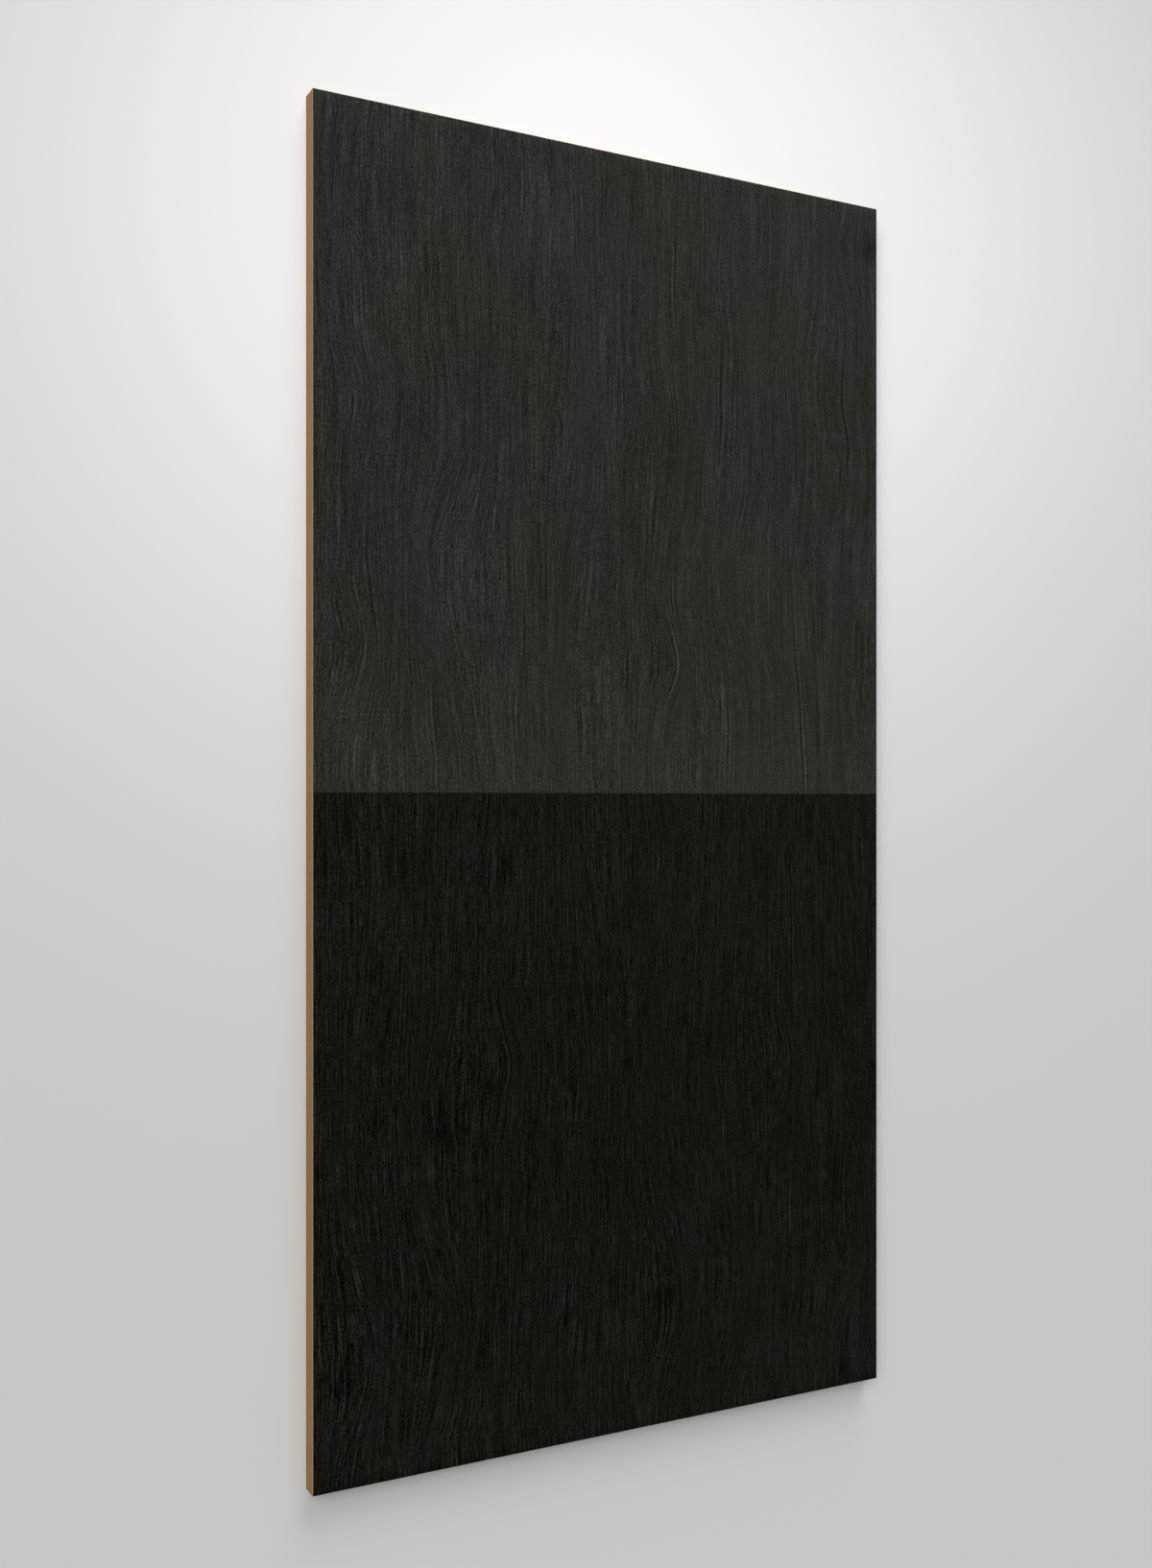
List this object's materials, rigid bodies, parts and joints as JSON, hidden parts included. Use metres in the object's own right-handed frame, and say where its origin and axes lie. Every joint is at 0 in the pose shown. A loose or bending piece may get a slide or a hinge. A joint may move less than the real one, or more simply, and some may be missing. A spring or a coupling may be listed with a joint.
{
  "type": "wood veneer sheet",
  "caption": "Flat rectangular veneered board: a dark wood veneer face and a balancing veneer of the same thickness, both glued to a brown fibreboard core, with square sawn edges.",
  "frame": {"origin": "the middle of the underside, on the surface that the board lies on", "axes": "+X across the grain, +Y along the grain towards the end that is uppermost in the picture, +Z out of the show face"},
  "size_m": [0.61, 1.22, 0.0192],
  "materials": {
    "fibreboard": "raw sawn fibreboard edge, matt",
    "face_wood": "black-stained open-grain wood, raw on the +Y half and sealed darker on the -Y half",
    "back_wood": "plain black-stained wood, raw"
  },
  "bodies": {
    "root": {"fibreboard_core": "fibreboard", "face_veneer": "face_wood", "back_veneer": "back_wood"}
  },
  "joints": []
}
